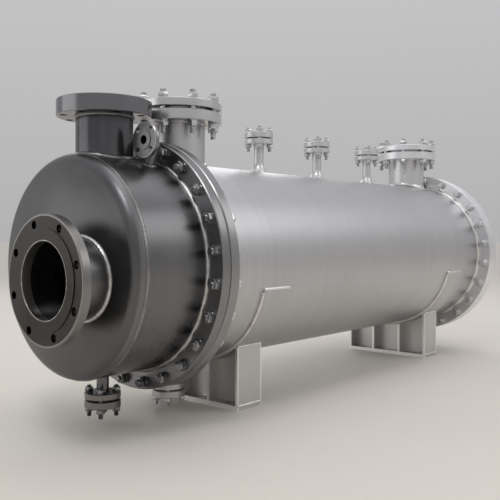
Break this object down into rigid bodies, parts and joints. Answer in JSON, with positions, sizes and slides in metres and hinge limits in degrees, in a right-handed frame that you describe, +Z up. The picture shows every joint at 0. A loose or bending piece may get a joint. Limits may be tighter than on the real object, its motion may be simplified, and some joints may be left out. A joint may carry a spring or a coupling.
{
  "type": "tube condenser",
  "caption": "Horizontal shell-and-tube condenser on two saddles, with bolted girth flanges, a dished channel with inlet and outlet nozzles, and blinded nozzles along the shell.",
  "frame": {"origin": "on the floor under the middle of the vessel", "axes": "+X along the vessel's axis from the inlet to the rear head, +Z up"},
  "size_m": [2.405, 0.7639, 0.988],
  "materials": {
    "shell_steel": "blasted satin stainless",
    "channel_steel": "dark brushed steel",
    "saddle_steel": "blasted satin stainless",
    "gasket_fibre": "matte",
    "fastener_steel": "plain bright"
  },
  "bodies": {
    "root": {"shell_barrel": "shell_steel", "front_tubesheet": "shell_steel", "rear_tubesheet": "shell_steel", "vapour_neck": "shell_steel", "vapour_flange": "shell_steel", "vapour_blind": "shell_steel", "rear_nozzle_neck": "shell_steel", "rear_nozzle_flange": "shell_steel", "rear_nozzle_blind": "shell_steel", "instrument_necks": "shell_steel", "instrument_flanges": "shell_steel", "instrument_blinds": "shell_steel", "shell_drain_neck": "shell_steel", "shell_drain_flange": "shell_steel", "shell_drain_blind": "shell_steel", "rear_flange": "shell_steel", "rear_barrel": "shell_steel", "rear_head": "shell_steel", "channel_head": "channel_steel", "channel_barrel": "channel_steel", "channel_flange": "channel_steel", "inlet_neck": "channel_steel", "inlet_flange": "channel_steel", "outlet_neck": "channel_steel", "outlet_flange": "channel_steel", "vent_elbow": "channel_steel", "vent_flange": "channel_steel", "channel_drain_neck": "channel_steel", "channel_drain_flange": "channel_steel", "channel_drain_blind": "channel_steel", "front_wear_plate": "saddle_steel", "front_saddle_web": "saddle_steel", "front_saddle_ribs": "saddle_steel", "front_base_plate": "saddle_steel", "rear_wear_plate": "saddle_steel", "rear_saddle_web": "saddle_steel", "rear_saddle_ribs": "saddle_steel", "rear_base_plate": "saddle_steel", "front_gasket": "gasket_fibre", "rear_gasket": "gasket_fibre", "vapour_gasket": "gasket_fibre", "rear_nozzle_gasket": "gasket_fibre"}
  },
  "joints": []
}
